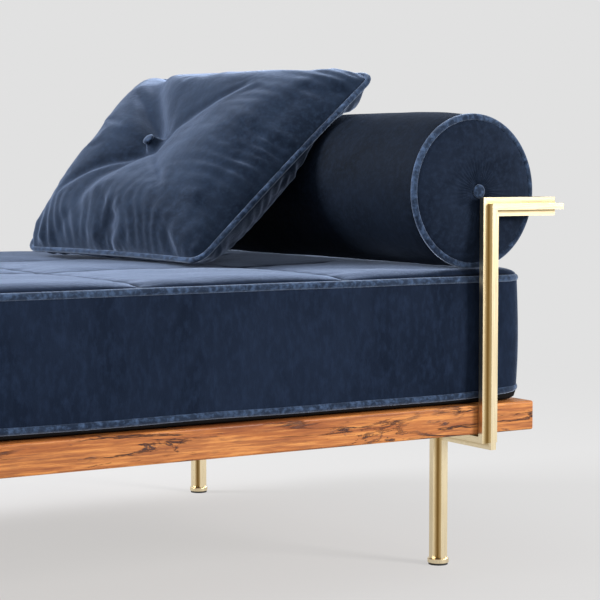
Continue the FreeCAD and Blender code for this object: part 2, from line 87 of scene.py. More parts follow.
world = bpy.data.worlds.new("studio")
world.use_nodes = True
world.node_tree.nodes["Background"].inputs["Color"].default_value = BACKDROP
world.node_tree.nodes["Background"].inputs["Strength"].default_value = 1.0
bpy.context.scene.world = world
bpy.context.scene.view_settings.view_transform = "Standard"


class Shader:
    """A principled material and short ways to add and link the nodes that colour it."""

    def __init__(self, name, **sockets):
        self.material = bpy.data.materials.new(name)
        self.material.use_nodes = True
        self.tree = self.material.node_tree
        self.surface = self.tree.nodes["Principled BSDF"]
        for socket, number in sockets.items():
            self.surface.inputs[socket.replace("_", " ")].default_value = number

    def node(self, kind, **inputs):
        made = self.tree.nodes.new("ShaderNode" + kind)
        for socket, source in inputs.items():
            self.feed(made.inputs[socket.replace("_", " ")], source)
        return made

    def feed(self, socket, source):
        if isinstance(source, bpy.types.NodeSocket):
            self.tree.links.new(source, socket)
        else:
            socket.default_value = source

    def place(self, scale=(1, 1, 1), turn=(0, 0, 0), shift=(0, 0, 0)):
        """Object coordinates, moved, turned and stretched."""
        where = self.node("TexCoord").outputs["Object"]
        return self.node("Mapping", Vector=where, Location=shift, Rotation=turn,
                         Scale=scale).outputs["Vector"]

    def stretch(self, vector, scale):
        """Coordinates stretched along the three axes, for a figure that runs one way."""
        return self.node("Mapping", Vector=vector, Scale=scale).outputs["Vector"]

    def noise(self, vector, scale, detail=3.0, roughness=0.5, distortion=0.0):
        return self.node("TexNoise", Vector=vector, Scale=scale, Detail=detail,
                         Roughness=roughness, Distortion=distortion).outputs["Fac"]

    def ramp(self, factor, stops):
        made = self.node("ValToRGB", Fac=factor)
        points = made.color_ramp.elements
        while len(points) < len(stops):
            points.new(0.5)
        for point, (position, colour) in zip(points, stops):
            point.position = position
            point.color = (*colour, 1) if len(colour) == 3 else colour
        return made.outputs["Color"]

    def mix(self, factor, first, second, blend="MIX"):
        made = self.tree.nodes.new("ShaderNodeMix")
        made.data_type = "RGBA"
        made.blend_type = blend
        for index, source in ((0, factor), (6, first), (7, second)):
            self.feed(made.inputs[index], source)
        return made.outputs[2]

    def maths(self, operation, first, second=0.0):
        made = self.tree.nodes.new("ShaderNodeMath")
        made.operation = operation
        self.feed(made.inputs[0], first)
        self.feed(made.inputs[1], second)
        return made.outputs[0]

    def spread(self, factor, low, high, new_low, new_high):
        """A factor's range from low to high, stretched to a new range and clamped."""
        return self.node("MapRange", Value=factor, From_Min=low, From_Max=high, To_Min=new_low,
                         To_Max=new_high).outputs["Result"]

    def bump(self, height, distance, strength=1.0, under=None):
        made = self.node("Bump", Height=height, Distance=distance, Strength=strength)
        if under is not None:
            self.feed(made.inputs["Normal"], under)
        return made.outputs["Normal"]

    def use(self, **sockets):
        for socket, source in sockets.items():
            self.feed(self.surface.inputs[socket.replace("_", " ")], source)
        return self.material


def studio_floor():
    """One wide plane, painted near the bed and as bright as the backdrop far from it."""
    bm = bmesh.new()
    bmesh.ops.create_grid(bm, x_segments=1, y_segments=1, size=FLOOR_HALF)
    mesh = bpy.data.meshes.new("floor")
    bm.to_mesh(mesh)
    bm.free()
    floor = bpy.data.objects.new("floor", mesh)
    bpy.context.collection.objects.link(floor)
    paint = Shader("pale_floor", Roughness=0.8, Specular_IOR_Level=0.2, Base_Color=FLOOR_PAINT)
    distance = paint.node("VectorMath", Vector=paint.place(shift=FADE_SHIFT))
    distance.operation = "LENGTH"
    far = paint.spread(distance.outputs["Value"], FADE_NEAR, FADE_FAR, FADE_START, 1.0)
    glow = paint.node("Emission", Color=BACKDROP)
    blend = paint.node("MixShader", Fac=far)
    paint.feed(blend.inputs[1], paint.surface.outputs[0])
    paint.feed(blend.inputs[2], glow.outputs[0])
    paint.feed(paint.tree.nodes["Material Output"].inputs["Surface"], blend.outputs[0])
    mesh.materials.append(paint.material)


studio_floor()


# ------------------------------------------------------------------ brass bars
# Legs, lower arms, posts, side bars and cross bars are solid brass of a plus-shaped section,
# mitred at their corners and finished satin; plates and foot discs are cut from plain brass.
PALE_BRASS, WARM_BRASS = (0.84, 0.72, 0.49), (0.76, 0.63, 0.40)
# Painted shade for the inner corners of the plus-shaped section.
RECESS_SHADE_PAINT = (0.44, 0.31, 0.135, 1)
GRAIN_ALONG, GRAIN_ACROSS = 14.0, 900.0
RECESS_DEEP, RECESS_END = 0.0062, 0.0112       # distances from the bar's axis
CORNERS = [f"{edge}_{side}" for edge in ("front", "rear") for side in ("left", "right")]
CORNER_BARS = (("post", "z", "XY"), ("leg", "z", "XY"), ("lower_arm", "y", "XZ"),
               ("side_bar", "x", "YZ"))


def brass_finish(name, along, axis_at=None):
    """Satin brass with a fine grain drawn along one axis, faint clouding, and painted shade
    that darkens the inner corners of the bar's section."""
    stretch = [GRAIN_ACROSS] * 3
    stretch["xyz".index(along)] = GRAIN_ALONG
    brass = Shader(name, Metallic=1.0)
    grain = brass.noise(brass.place(scale=stretch), 1.0, 2.0, 0.6)
    cloud = brass.noise(brass.place(), 9.0, 3.0, 0.55)
    tone = brass.ramp(cloud, ((0.25, WARM_BRASS), (0.75, PALE_BRASS)))
    if axis_at:
        parts = brass.node("SeparateXYZ", Vector=brass.place())
        squares = []
        for letter, middle in axis_at.items():
            size = brass.maths("ABSOLUTE", parts.outputs[letter])
            squares.append(brass.maths("POWER", brass.maths("SUBTRACT", size, middle), 2.0))
        out_from_axis = brass.maths("SQRT", brass.maths("ADD", squares[0], squares[1]))
        # Painted shade: darker towards the inner corners of the section, where shade falls.
        recess_shade = brass.spread(out_from_axis, RECESS_DEEP, RECESS_END, 1.0, 0.0)
        tone = brass.mix(recess_shade, tone, RECESS_SHADE_PAINT)
    return brass.use(Base_Color=tone, Roughness=brass.spread(grain, 0.3, 0.7, 0.25, 0.36),
                     Normal=brass.bump(grain, 0.00004, 0.5))


def axis_of(bar, letters):
    """Where a bar's axis crosses the two directions of its section."""
    low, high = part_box(bar)
    places = {letter: "XYZ".index(letter) for letter in letters}
    return {letter: (low[i] + high[i]) / 2 for letter, i in places.items()}


def dress(node, material):
    """Give a CAD node its material."""
    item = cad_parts[node]
    item.data.materials.clear()
    item.data.materials.append(material)


disc_brass = brass_finish("satin_brass_z", "z")
plate_brass = brass_finish("satin_brass_y", "y")
for corner in CORNERS:
    dress(f"mounting_plate_{corner}", plate_brass)
    dress(f"foot_disc_{corner}", disc_brass)
for bar, along, letters in CORNER_BARS:
    finish = brass_finish(f"brass_{bar}", along, axis_of(f"{bar}_rear_right", letters))
    for corner in CORNERS:
        dress(f"{bar}_{corner}", finish)
cross_brass = brass_finish("brass_cross_bar", "y", axis_of("cross_bar_right", "XZ"))
for side in ("left", "right"):
    dress(f"cross_bar_{side}", cross_brass)


# ------------------------------------------------------------------ hardwood platform
# Long rails and end rails are planks of old hardwood, planed, eased along the edges and oiled;
# dark cracks and knots run along the grain.
UMBER, RUST = (0.22, 0.060, 0.018, 1), (0.43, 0.135, 0.030, 1)
AMBER, CHESTNUT = (0.60, 0.230, 0.060, 1), (0.30, 0.085, 0.024, 1)
BAND, GOLD = (0.33, 0.095, 0.026, 1), (0.76, 0.335, 0.095, 1)
CRACK, PORE = (0.030, 0.012, 0.016, 1), (0.16, 0.050, 0.024, 1)
ACROSS_THE_BED = (0, 0, math.pi / 2)
PLANKS = (("front_rail", "x", 3.0), ("rear_rail", "x", 5.3), ("end_rail_left", "y", 7.6),
          ("end_rail_right", "y", 9.9))        # node, grain, where in the figure it is cut


def old_wood(name, along, seed):
    """Reclaimed wood: warm growth bands, dark veins and knots, and fine pores."""
    wood = Shader(name, Roughness=0.42, Specular_IOR_Level=0.3)
    place = wood.place(turn=(0, 0, 0) if along == "x" else ACROSS_THE_BED,
                       shift=(seed, seed * 0.7, seed * 1.3))
    long_way = wood.stretch(place, (1.6, 11.0, 16.0))
    drift = wood.noise(long_way, 1.0, 4.0, 0.55, 0.6)
    bands = wood.node("TexWave", Vector=long_way, Scale=1.4, Distortion=7.0, Detail=4.0,
                      Detail_Scale=1.4, Detail_Roughness=0.6)
    bands.wave_type = "BANDS"
    bands.bands_direction = "Z"
    warm = wood.ramp(drift, ((0.34, UMBER), (0.45, RUST), (0.56, AMBER), (0.68, CHESTNUT)))
    striped = wood.mix(wood.spread(bands.outputs["Fac"], 0.35, 1.0, 0.0, 0.5), warm, BAND)
    fine = wood.noise(wood.stretch(place, (12.0, 150.0, 260.0)), 1.0, 6.0, 0.75)
    lined = wood.mix(wood.spread(fine, 0.47, 0.60, 0.0, 0.70), striped, UMBER)
    bright = wood.mix(wood.spread(fine, 0.46, 0.34, 0.0, 0.60), lined, GOLD)
    vein_field = wood.noise(wood.stretch(place, (3.4, 18.0, 34.0)), 1.0, 8.0, 0.66, 1.0)
    vein = wood.ramp(wood.maths("ABSOLUTE", wood.maths("SUBTRACT", vein_field, 0.51)),
                     ((0.0, (1, 1, 1)), (0.010, (0.8, 0.8, 0.8)), (0.022, (0, 0, 0))))
    patch = wood.spread(wood.noise(place, 5.5, 3.0, 0.6), 0.44, 0.52, 0.0, 1.0)
    knot_field = wood.noise(wood.stretch(place, (6.0, 20.0, 26.0)), 1.0, 5.0, 0.7, 0.8)
    knots = wood.spread(knot_field, 0.60, 0.65, 0.0, 0.9)
    dark = wood.maths("MAXIMUM", wood.maths("MULTIPLY", vein, patch), knots)
    veined = wood.mix(dark, bright, CRACK)
    pores = wood.noise(wood.stretch(place, (30.0, 420.0, 420.0)), 1.0, 2.0, 0.5)
    colour = wood.mix(wood.spread(pores, 0.56, 0.70, 0.0, 0.45), veined, PORE)
    dented = wood.bump(dark, 0.0012, 0.7)
    return wood.use(Base_Color=colour, Roughness=wood.spread(drift, 0.3, 0.7, 0.36, 0.55),
                    Normal=wood.bump(pores, 0.00015, 0.5, dented))


for node, along, seed in PLANKS:
    dress(node, old_wood(f"old_wood_{node}", along, seed))


# ------------------------------------------------------------------ slats and what holds them
# Planed pale softwood slats lie on two ledgers screwed to the long rails; one bearer ties the
# rails together at the middle, and round dowels join the platform's corners.
STRAW, PINE = (0.72, 0.55, 0.36), (0.60, 0.42, 0.25)
LATEWOOD, SAPWOOD = (0.55, 0.37, 0.21), (0.70, 0.52, 0.34)
FLECK = (0.42, 0.27, 0.15, 1)
SLATS = 8


def pale_wood(name, along):
    """Planed softwood: soft growth rings and short dark flecks."""
    wood = Shader(name)
    place = wood.place(turn=(0, 0, 0) if along == "x" else ACROSS_THE_BED)
    rings = wood.noise(wood.stretch(place, (1.2, 22.0, 22.0)), 1.0, 4.0, 0.6, 0.8)
    fine = wood.noise(wood.stretch(place, (20.0, 380.0, 380.0)), 1.0, 2.0)
    tone = wood.ramp(rings, ((0.3, PINE), (0.5, STRAW), (0.62, LATEWOOD), (0.8, SAPWOOD)))
    colour = wood.mix(wood.spread(fine, 0.5, 0.75, 0.0, 0.3), tone, FLECK)
    return wood.use(Base_Color=colour, Roughness=wood.spread(rings, 0.3, 0.7, 0.5, 0.7),
                    Normal=wood.bump(fine, 0.0001, 0.4))


softwood = {along: pale_wood(f"softwood_{along}", along) for along in "xy"}
for node in [f"slat_{n}" for n in range(1, SLATS + 1)] + ["middle_bearer"]:
    dress(node, softwood["y"])
for node in ("front_ledger", "rear_ledger", "frame_dowels"):
    dress(node, softwood["x"])


# ------------------------------------------------------------------ steel and rubber
# Countersunk wood screws and the threaded studs of the feet are zinc-plated steel; the pads
# under the brass discs are black rubber.
DULL_ZINC, BRIGHT_ZINC = (0.52, 0.53, 0.55), (0.66, 0.66, 0.68)
RUBBER_BLACK, RUBBER_WORN = (0.012, 0.012, 0.012), (0.026, 0.026, 0.027)

zinc = Shader("zinc_plate", Metallic=1.0)
spangle = zinc.noise(zinc.place(), 260.0, 2.0)
zinc.use(Base_Color=zinc.ramp(spangle, ((0.3, DULL_ZINC), (0.7, BRIGHT_ZINC))),
         Roughness=zinc.spread(spangle, 0.3, 0.7, 0.28, 0.45))
for node in ["plate_screws", "ledger_screws"] + [f"foot_stud_{corner}" for corner in CORNERS]:
    dress(node, zinc.material)

rubber = Shader("black_rubber")
speckle = rubber.noise(rubber.place(), 900.0, 2.0)
rubber.use(Base_Color=rubber.ramp(speckle, ((0.3, RUBBER_BLACK), (0.7, RUBBER_WORN))),
           Roughness=rubber.spread(speckle, 0.3, 0.7, 0.7, 0.9),
           Normal=rubber.bump(speckle, 0.0001, 0.4))
for corner in CORNERS:
    dress(f"foot_pad_{corner}", rubber.material)


# ------------------------------------------------------------------ mattress
# A foam mattress in a fitted velvet cover.  The top is sewn through in squares that puff up
# between their seams, and thick piping runs round both edges.  A lining closes the base; its
# near-black colour is painted shade, the shadow in the gap under the mattress.
mattress_low, mattress_high = (Vector(p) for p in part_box("mattress"))
SQUARES_LONG, SQUARES_DEEP, STEPS = 6, 3, 44
CORNER_RADIUS = 0.036
PANEL_INSET = 0.0042               # side panels, in from the mattress box
PIPING_RADIUS = 0.0054
PIPING_INSET = 0.0064              # piping's centre line, in from the mattress box
PIPING_STEP, PIPING_ARC_STEPS = 0.011, 8
LOWER_PIPING_Z = mattress_low.z + 0.0125
UPPER_PIPING_Z = mattress_high.z - 0.0155
CREST = 0.0125                     # how far the squares puff up
SEAM_REACH, SEAM_PINCH = 0.034, 0.0035         # how far a seam draws the pile and the stitches down
SHOULDER = 0.050                   # width over which the top rounds up from its piping
PRESSED_X, PRESSED_HALF, PRESSED_FADE = 0.852, 0.035, 0.030    # where a bolster lies
PRESSED_LEVEL = mattress_high.z - 0.0004
HIGHEST = mattress_high.z + 0.0003
SWELL, SWELL_LIMIT = 0.0026, PANEL_INSET - 0.0004
SIDE_RINGS = 16
# Rings of the lining below the lower piping: how far in and how far down each one steps.
LINING_RINGS = ((0.0008, 0.0045), (0.0022, 0.0045), (0.0060, 0.0025), (0.0210, 0.0006))
LINING_DEPTH = sum(down for _, down in LINING_RINGS)
LIFT, LIFT_FROM, LIFT_RUN = 0.0065, 0.80, 0.15     # curl of the lower edge, and where along x
SEAM_SHADOW = (0.0005, 0.0010, 0.0025, 1)
# Painted shade: the lining's near-black colours stand for the shadow in the gap under the mattress.
LINING_SHADE_DARK, LINING_SHADE_LIGHT = (0.004, 0.004, 0.005), (0.012, 0.012, 0.013)


def end_lift(x):
    """The lower edge curls up a little towards the ends of the mattress."""
    return LIFT * np.clip((np.abs(x) - LIFT_FROM) / LIFT_RUN, 0, 1) ** 2


def velvet_pile(name, navy, pile, tint, sheen, spread, brush=(1, 1, 1), shade=None, glint=1.6):
    """Velvet: a dark matt ground, grazing sheen, pile, and painted sheen in patches and flecks."""
    cloth = Shader(name, Sheen_Weight=sheen, Sheen_Roughness=spread, Sheen_Tint=(*tint, 1),
                   Specular_IOR_Level=0.05)
    sheen_patches = cloth.noise(cloth.place(scale=brush), 9.0, 5.0, 0.6, 0.8)
    fleck_sheen_and_lay = cloth.noise(cloth.place(scale=brush), 120.0, 4.0, 0.65)
    fibre = cloth.noise(cloth.place(), 1500.0, 2.0, 0.6)
    # Painted sheen: lighter patches of pile colour and glint-bright flecks stand in for light on
    # the nap.
    tone = cloth.ramp(sheen_patches, ((0.34, navy), (0.66, pile)))
    light = tuple(glint * c for c in pile)
    sheen_speckled = cloth.mix(cloth.spread(fleck_sheen_and_lay, 0.45, 0.78, 0.0, 0.7), tone, (*light, 1))
    if shade:
        sheen_speckled = shade(cloth, sheen_speckled)
    lay = cloth.bump(fleck_sheen_and_lay, 0.0010, 0.5)
    return cloth.use(Base_Color=sheen_speckled, Roughness=cloth.spread(fibre, 0.3, 0.7, 0.62, 0.85),
                     Normal=cloth.bump(fibre, 0.00035, 0.55, lay))


def seam_shade(cloth, colour):
    """Darken the pile where it is drawn down into the mattress seams."""
    parts = cloth.node("SeparateXYZ", Vector=cloth.place())
    lines = []
    for letter, half, squares in (("X", mattress_high.x - PANEL_INSET, SQUARES_LONG),
                                  ("Y", mattress_high.y - PANEL_INSET, SQUARES_DEEP)):
        moved = cloth.maths("ADD", parts.outputs[letter], half)
        lines.append(cloth.maths("PINGPONG", moved, half / squares))
    nearest = cloth.maths("MINIMUM", lines[0], lines[1])
    upper = cloth.spread(parts.outputs["Z"], UPPER_PIPING_Z + 0.002, UPPER_PIPING_Z + 0.005,
                         0.0, 1.0)
    line = cloth.maths("MULTIPLY", upper, cloth.spread(nearest, 0.0012, 0.0034, 0.95, 0.0))
    return cloth.mix(line, colour, SEAM_SHADOW)


velvet = velvet_pile("navy_velvet", navy=(0.0040, 0.0085, 0.0205), pile=(0.0085, 0.0155, 0.0340),
                     tint=(0.46, 0.58, 0.84), sheen=0.9, spread=0.27, brush=(1, 1, 0.45),
                     shade=seam_shade)
# Painted light: the piping's copy of the velvet is painted lighter, with strong glint flecks, for
# light catching the welts.
lit_piping_velvet = velvet_pile("lit_piping_velvet", navy=(0.007, 0.014, 0.032),
                            pile=(0.022, 0.036, 0.066), tint=(0.60, 0.72, 0.95), sheen=1.0,
                            spread=0.38, glint=4.5)
# Painted shade: the lining is painted near-black for the shadow under the mattress.
lining = Shader("shadow_black_lining", Roughness=0.95, Specular_IOR_Level=0.1)
weave = lining.noise(lining.place(scale=(900, 900, 300)), 1.0, 2.0)
lining.use(Base_Color=lining.ramp(weave, ((0.3, LINING_SHADE_DARK), (0.7, LINING_SHADE_LIGHT))),
           Normal=lining.bump(weave, 0.0002, 0.4))


def add_piece(name, bm, *materials):
    """Turn a bmesh into a smooth piece of the object."""
    mesh = bpy.data.meshes.new(name)
    bm.to_mesh(mesh)
    bm.free()
    mesh.polygons.foreach_set("use_smooth", [True] * len(mesh.polygons))
    for material in materials:
        mesh.materials.append(material)
    piece = bpy.data.objects.new(name, mesh)
    bpy.context.collection.objects.link(piece)
    return piece


def final_mesh(piece):
    """A copy of a piece's mesh as its modifiers or bevel leave it."""
    depsgraph = bpy.context.evaluated_depsgraph_get()
    return bpy.data.meshes.new_from_object(piece.evaluated_get(depsgraph))


def read_points(mesh):
    """The places of a mesh's points, one row each."""
    numbers = np.empty(len(mesh.vertices) * 3)
    mesh.vertices.foreach_get("co", numbers)
    return numbers.reshape(-1, 3)


def write_points(mesh, points):
    """Move a mesh's points to these places."""
    mesh.vertices.foreach_set("co", points.ravel())
    mesh.update()


def field(points, scale, seed):
    """Smooth noise from -1 to 1 at every point."""
    shift = Vector((seed, seed * 1.7, seed * 0.6))
    return np.array([noise.noise(Vector(p) * scale + shift) for p in points])


def round_corners(x, y, half_x, half_y, radius):
    """Carry the corners of a rectangle onto arcs, and what lies inside them with it."""
    over_x, over_y = np.abs(x) - (half_x - radius), np.abs(y) - (half_y - radius)
    inside = (over_x > 0) & (over_y > 0)
    longest = np.maximum(over_x, over_y)
    pull = np.where(inside, longest / np.maximum(np.hypot(over_x, over_y), 1e-9), 1.0)
    new_x = np.where(inside, np.sign(x) * (half_x - radius + over_x * pull), x)
    new_y = np.where(inside, np.sign(y) * (half_y - radius + over_y * pull), y)
    return new_x, new_y


def crowd_to_seams(place, half, squares):
    """Bring the mesh's lines closer together beside each seam."""
    share = (place + half) / (2 * half) * squares
    cell = min(int(share + 1e-4), squares - 1)
    side = 2 * (share - cell) - 1
    side = math.copysign(1 - (1 - min(abs(side), 1.0)) ** 1.6, side)
    return (cell + (side + 1) / 2) / squares * 2 * half - half


def extrude_rim(bm, rim):
    """Add a ring of faces along an open rim: its new points, and the rim they end in."""
    made = bmesh.ops.extrude_edge_only(bm, edges=rim)["geom"]
    fresh = [item for item in made if isinstance(item, bmesh.types.BMVert)]
    return fresh, [item for item in made if isinstance(item, bmesh.types.BMEdge)]


def cut_mattress_cover(half_x, half_y):
    """The cover before filling: gridded top, side panels and lining, and how many points the
    top alone has, and the top and the sides together."""
    bm = bmesh.new()
    bmesh.ops.create_grid(bm, x_segments=SQUARES_LONG * STEPS, y_segments=SQUARES_DEEP * STEPS,
                          size=1)
    bmesh.ops.scale(bm, vec=(half_x, half_y, 1), verts=bm.verts)
    bmesh.ops.translate(bm, vec=(0, 0, UPPER_PIPING_Z), verts=bm.verts)
    for vert in bm.verts:
        vert.co.x = crowd_to_seams(vert.co.x, half_x, SQUARES_LONG)
        vert.co.y = crowd_to_seams(vert.co.y, half_y, SQUARES_DEEP)
    top_count = len(bm.verts)
    drop = (UPPER_PIPING_Z - LOWER_PIPING_Z) / SIDE_RINGS
    rim = [edge for edge in bm.edges if edge.is_boundary]
    for _ in range(SIDE_RINGS):
        fresh, rim = extrude_rim(bm, rim)
        bmesh.ops.translate(bm, vec=(0, 0, -drop), verts=fresh)
    panel_count = len(bm.verts)
    for inward, down in LINING_RINGS:
        fresh, rim = extrude_rim(bm, rim)
        bmesh.ops.scale(bm, vec=(1 - inward / half_x, 1 - inward / half_y, 1), verts=fresh)
        bmesh.ops.translate(bm, vec=(0, 0, -down), verts=fresh)
    bmesh.ops.contextual_create(bm, geom=rim)
    for face in bm.faces:
        if min(vert.co.z for vert in face.verts) < LOWER_PIPING_Z - 0.001:
            face.material_index = 1
    bmesh.ops.triangulate(bm, faces=[face for face in bm.faces if len(face.verts) > 4])
    bmesh.ops.recalc_face_normals(bm, faces=bm.faces)
    return bm, top_count, panel_count


def from_seams(place, half, squares):
    """How far each point is from the nearest line of stitches, and from the border."""
    square = 2 * half / squares
    share = (place + half) / square
    edge = half - np.abs(place)
    nearest = np.abs(share - np.round(share)) * square
    return np.where(edge < square / 2, square - edge, nearest), edge


def puff_top(top, half_x, half_y):
    """Fill the squares between their seams, and flatten the top where a bolster lies on it."""
    x, y = top[:, 0].copy(), top[:, 1].copy()
    to_seam_x, edge_x = from_seams(x, half_x, SQUARES_LONG)
    to_seam_y, edge_y = from_seams(y, half_y, SQUARES_DEEP)
    soft_x, soft_y = 1 - np.exp(-to_seam_x / SEAM_REACH), 1 - np.exp(-to_seam_y / SEAM_REACH)
    sharp = np.minimum(1 - np.exp(-to_seam_x / SEAM_PINCH), 1 - np.exp(-to_seam_y / SEAM_PINCH))
    puff = 0.68 * soft_x * soft_y + 0.32 * sharp
    border = np.minimum(edge_x, edge_y)
    shoulder = np.sqrt(np.clip(1 - (1 - np.clip(border / SHOULDER, 0, 1)) ** 2, 0, 1))
    near_seam = np.minimum(to_seam_x, to_seam_y)
    along = np.where(to_seam_x < to_seam_y, y, x)
    wander = field(top, 9.0, 4.0)
    pulls = np.sin(along * 150 + 7 * wander) * np.exp(-near_seam / 0.022) * 0.0005
    lumps = field(top, 14.0, 9.0) * 0.0012 + field(top, 38.0, 2.0) * 0.0005
    top[:, 2] += 0.0030 * np.clip(border / 0.004, 0, 1)
    top[:, 2] += shoulder * (CREST * (0.30 + 0.70 * puff) + pulls + lumps)
    beyond = np.clip(np.abs(np.abs(x) - PRESSED_X) - PRESSED_HALF, 0, 1)
    pressed = np.exp(-(beyond / PRESSED_FADE) ** 2) * np.clip(edge_y / 0.012, 0, 1)
    top[:, 2] += pressed * (PRESSED_LEVEL - top[:, 2])


def swell_sides(panel, half_y):
    """Swell the side panels, with tucks that deepen towards the piping, and curl their ends up."""
    share = (panel[:, 2] - LOWER_PIPING_Z) / (UPPER_PIPING_Z - LOWER_PIPING_Z)
    near_piping = np.abs(2 * share - 1)
    long_side = np.abs(panel[:, 1]) > half_y - 1e-4
    run = np.where(long_side, panel[:, 0], panel[:, 1] + 3.0)
    wide = np.stack([run * 30, share * 1.6, np.zeros_like(run)], axis=1)
    narrow = np.stack([run * 75, share * 2.2, np.zeros_like(run)], axis=1)
    tucks = field(wide, 1.0, 11.0) * (0.30 + 0.70 * near_piping ** 2) * 0.0022
    tucks += field(narrow, 1.0, 17.0) * near_piping ** 3 * 0.0016
    swell = SWELL * np.sin(np.pi * np.clip(share, 0, 1))
    swell += tucks * np.sin(np.pi * np.clip(share, 0.04, 0.96))
    swell = np.minimum(swell, SWELL_LIMIT)
    panel[:, 2] += (1 - share) * end_lift(panel[:, 0])
    panel[:, 1] += np.where(long_side, np.sign(panel[:, 1]) * swell, 0)
    panel[:, 0] += np.where(~long_side, np.sign(panel[:, 0]) * swell, 0)


def sew_mattress():
    """The closed cover of the mattress, filled and sewn."""
    half_x, half_y = mattress_high.x - PANEL_INSET, mattress_high.y - PANEL_INSET
    bm, top_count, panel_count = cut_mattress_cover(half_x, half_y)
    cover = add_piece("mattress_cover", bm, velvet, lining.material)
    points = read_points(cover.data)
    puff_top(points[:top_count], half_x, half_y)
    swell_sides(points[top_count:panel_count], half_y)
    base = points[panel_count:]
    near_edge = np.clip(1 - (LOWER_PIPING_Z - base[:, 2]) / LINING_DEPTH, 0, 1)
    base[:, 2] += end_lift(base[:, 0]) * near_edge
    points[:, 0], points[:, 1] = round_corners(points[:, 0], points[:, 1], half_x, half_y,
                                               CORNER_RADIUS)
    points[:, 2] = np.minimum(points[:, 2], HIGHEST)
    write_points(cover.data, points)
    return cover


def piped_loop(name, centre_line, radius, material):
    """Corded piping: a round welt that follows a closed line of points."""
    curve = bpy.data.curves.new(name, "CURVE")
    curve.dimensions = "3D"
    curve.bevel_depth = radius
    curve.bevel_resolution = 3
    curve.resolution_u = 1
    spline = curve.splines.new("POLY")
    spline.points.add(len(centre_line) - 1)
    for point, place in zip(spline.points, centre_line):
        point.co = (*place, 1)
    spline.use_cyclic_u = True
    holder = bpy.data.objects.new(name, curve)
    bpy.context.collection.objects.link(holder)
    mesh = final_mesh(holder)
    bpy.data.objects.remove(holder)
    mesh.materials.clear()
    mesh.materials.append(material)
    mesh.polygons.foreach_set("use_smooth", [True] * len(mesh.polygons))
    piece = bpy.data.objects.new(name, mesh)
    bpy.context.collection.objects.link(piece)
    return piece


def rounded_rectangle(half_x, half_y, radius, height, lifted):
    """Points round a rectangle with arcs at its corners and the small waver of hand sewing; a
    lifted line curls up with the lower edge."""
    line = []
    for quarter in range(4):
        turn = Matrix.Rotation(quarter * math.pi / 2, 2)
        across, along = (half_x, half_y) if quarter % 2 == 0 else (half_y, half_x)
        half_run = along - radius
        count = int(2 * half_run / PIPING_STEP)
        for i in range(count):
            line.append(turn @ Vector((across, -half_run + 2 * half_run * i / count)))
        for i in range(PIPING_ARC_STEPS):
            angle = math.pi / 2 * i / PIPING_ARC_STEPS
            line.append(turn @ Vector((across - radius + radius * math.cos(angle),
                                       half_run + radius * math.sin(angle))))
    waver = 0.0020 if lifted else 0.0011
    loop = []
    for p in line:
        sway = waver * noise.noise(Vector((p.x * 5, p.y * 5, height * 50)))
        loop.append((p.x, p.y, height + sway + (float(end_lift(p.x)) if lifted else 0.0)))
    return loop


mattress_cover = sew_mattress()
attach(mattress_cover, "mattress")
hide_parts("mattress")
for name, height in (("upper", UPPER_PIPING_Z), ("lower", LOWER_PIPING_Z)):
    seam = rounded_rectangle(mattress_high.x - PIPING_INSET, mattress_high.y - PIPING_INSET,
                             CORNER_RADIUS, height, name == "lower")
    welt = piped_loop(f"mattress_{name}_piping", seam, PIPING_RADIUS, lit_piping_velvet)
    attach(welt, "mattress")


# ------------------------------------------------------------------ bolsters
# A firm round bolster lies inside each arm.  Its velvet tube is closed at both ends by a domed
# disc sewn in with piping; a covered button is drawn into the middle of each disc.
bar_high_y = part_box("side_bar_front_right")[1][1]
cross_low, cross_high = (Vector(p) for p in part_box("cross_bar_right"))
RIB_WIDTH = 0.009
TOUCH = 0.0006                     # fabric stands this far off what it touches
ROLL_REST = mattress_high.z + 0.0009
PLUMP, PLUMP_MIDDLE = 1.03, 0.042  # height against a true circle: at the ends, and added between
PLUMP_END, PLUMP_RUN = 0.462, 0.07
DOME = 0.0165                      # how far an end disc bulges past its piping
DIMPLE, DIMPLE_WIDTH = 0.0045, 0.013           # hollow that the button pulls into the dome
CAP_INSET, TUBE_INSET, TUBE_SWELL = 0.0045, 0.0040, 0.0035
END_DISC_INSET = 0.0135            # from the end of the bolster's box to the plane of its piping
CAP_STEPS, TUBE_STEPS, SPIN_STEPS, WELT_STEPS = 25, 150, 144, 120
BOLSTER_WELT, WELT_INSET = 0.0050, 0.0035
BUTTON_RADIUS, BUTTON_HEIGHT = 0.0100, 0.0065
BUTTON_SUNK = 0.0042
BUTTON_STEPS, BUTTON_SPIN = 8, 40
# Painted shade: the bolster's tube is a darker, duller copy of the velvet, as if in the pillow's
# shadow.
shaded_velvet = velvet_pile("bolster_shaded_velvet", navy=(0.0018, 0.0038, 0.0080),
                            pile=(0.0048, 0.0085, 0.0170), tint=(0.40, 0.52, 0.78), sheen=0.10,
                            spread=0.28)
cap_velvet = velvet_pile("bolster_end_velvet", navy=(0.0040, 0.0080, 0.0180),
                         pile=(0.0100, 0.0170, 0.0340), tint=(0.44, 0.56, 0.82), sheen=0.55,
                         spread=0.30)


def plumpness(y):
    """How much taller the filled roll is than a true circle, end to end."""
    in_from_end = np.clip(PLUMP_END - np.abs(y), 0, 1)
    return PLUMP + PLUMP_MIDDLE * (1 - np.exp(-in_from_end / PLUMP_RUN))


def lathe_about_y(profile, centre, steps):
    """Spin a profile of (radius, y) points about an axis along Y through centre."""
    bm = bmesh.new()
    verts = [bm.verts.new((centre.x + r, y, centre.z)) for r, y in profile]
    edges = [bm.edges.new(pair) for pair in zip(verts, verts[1:])]
    bmesh.ops.spin(bm, geom=verts + edges, cent=centre, axis=(0, 1, 0), angle=2 * math.pi,
                   steps=steps, use_merge=True)
    bmesh.ops.remove_doubles(bm, verts=bm.verts, dist=1e-6)
    bmesh.ops.recalc_face_normals(bm, faces=bm.faces)
    return bm


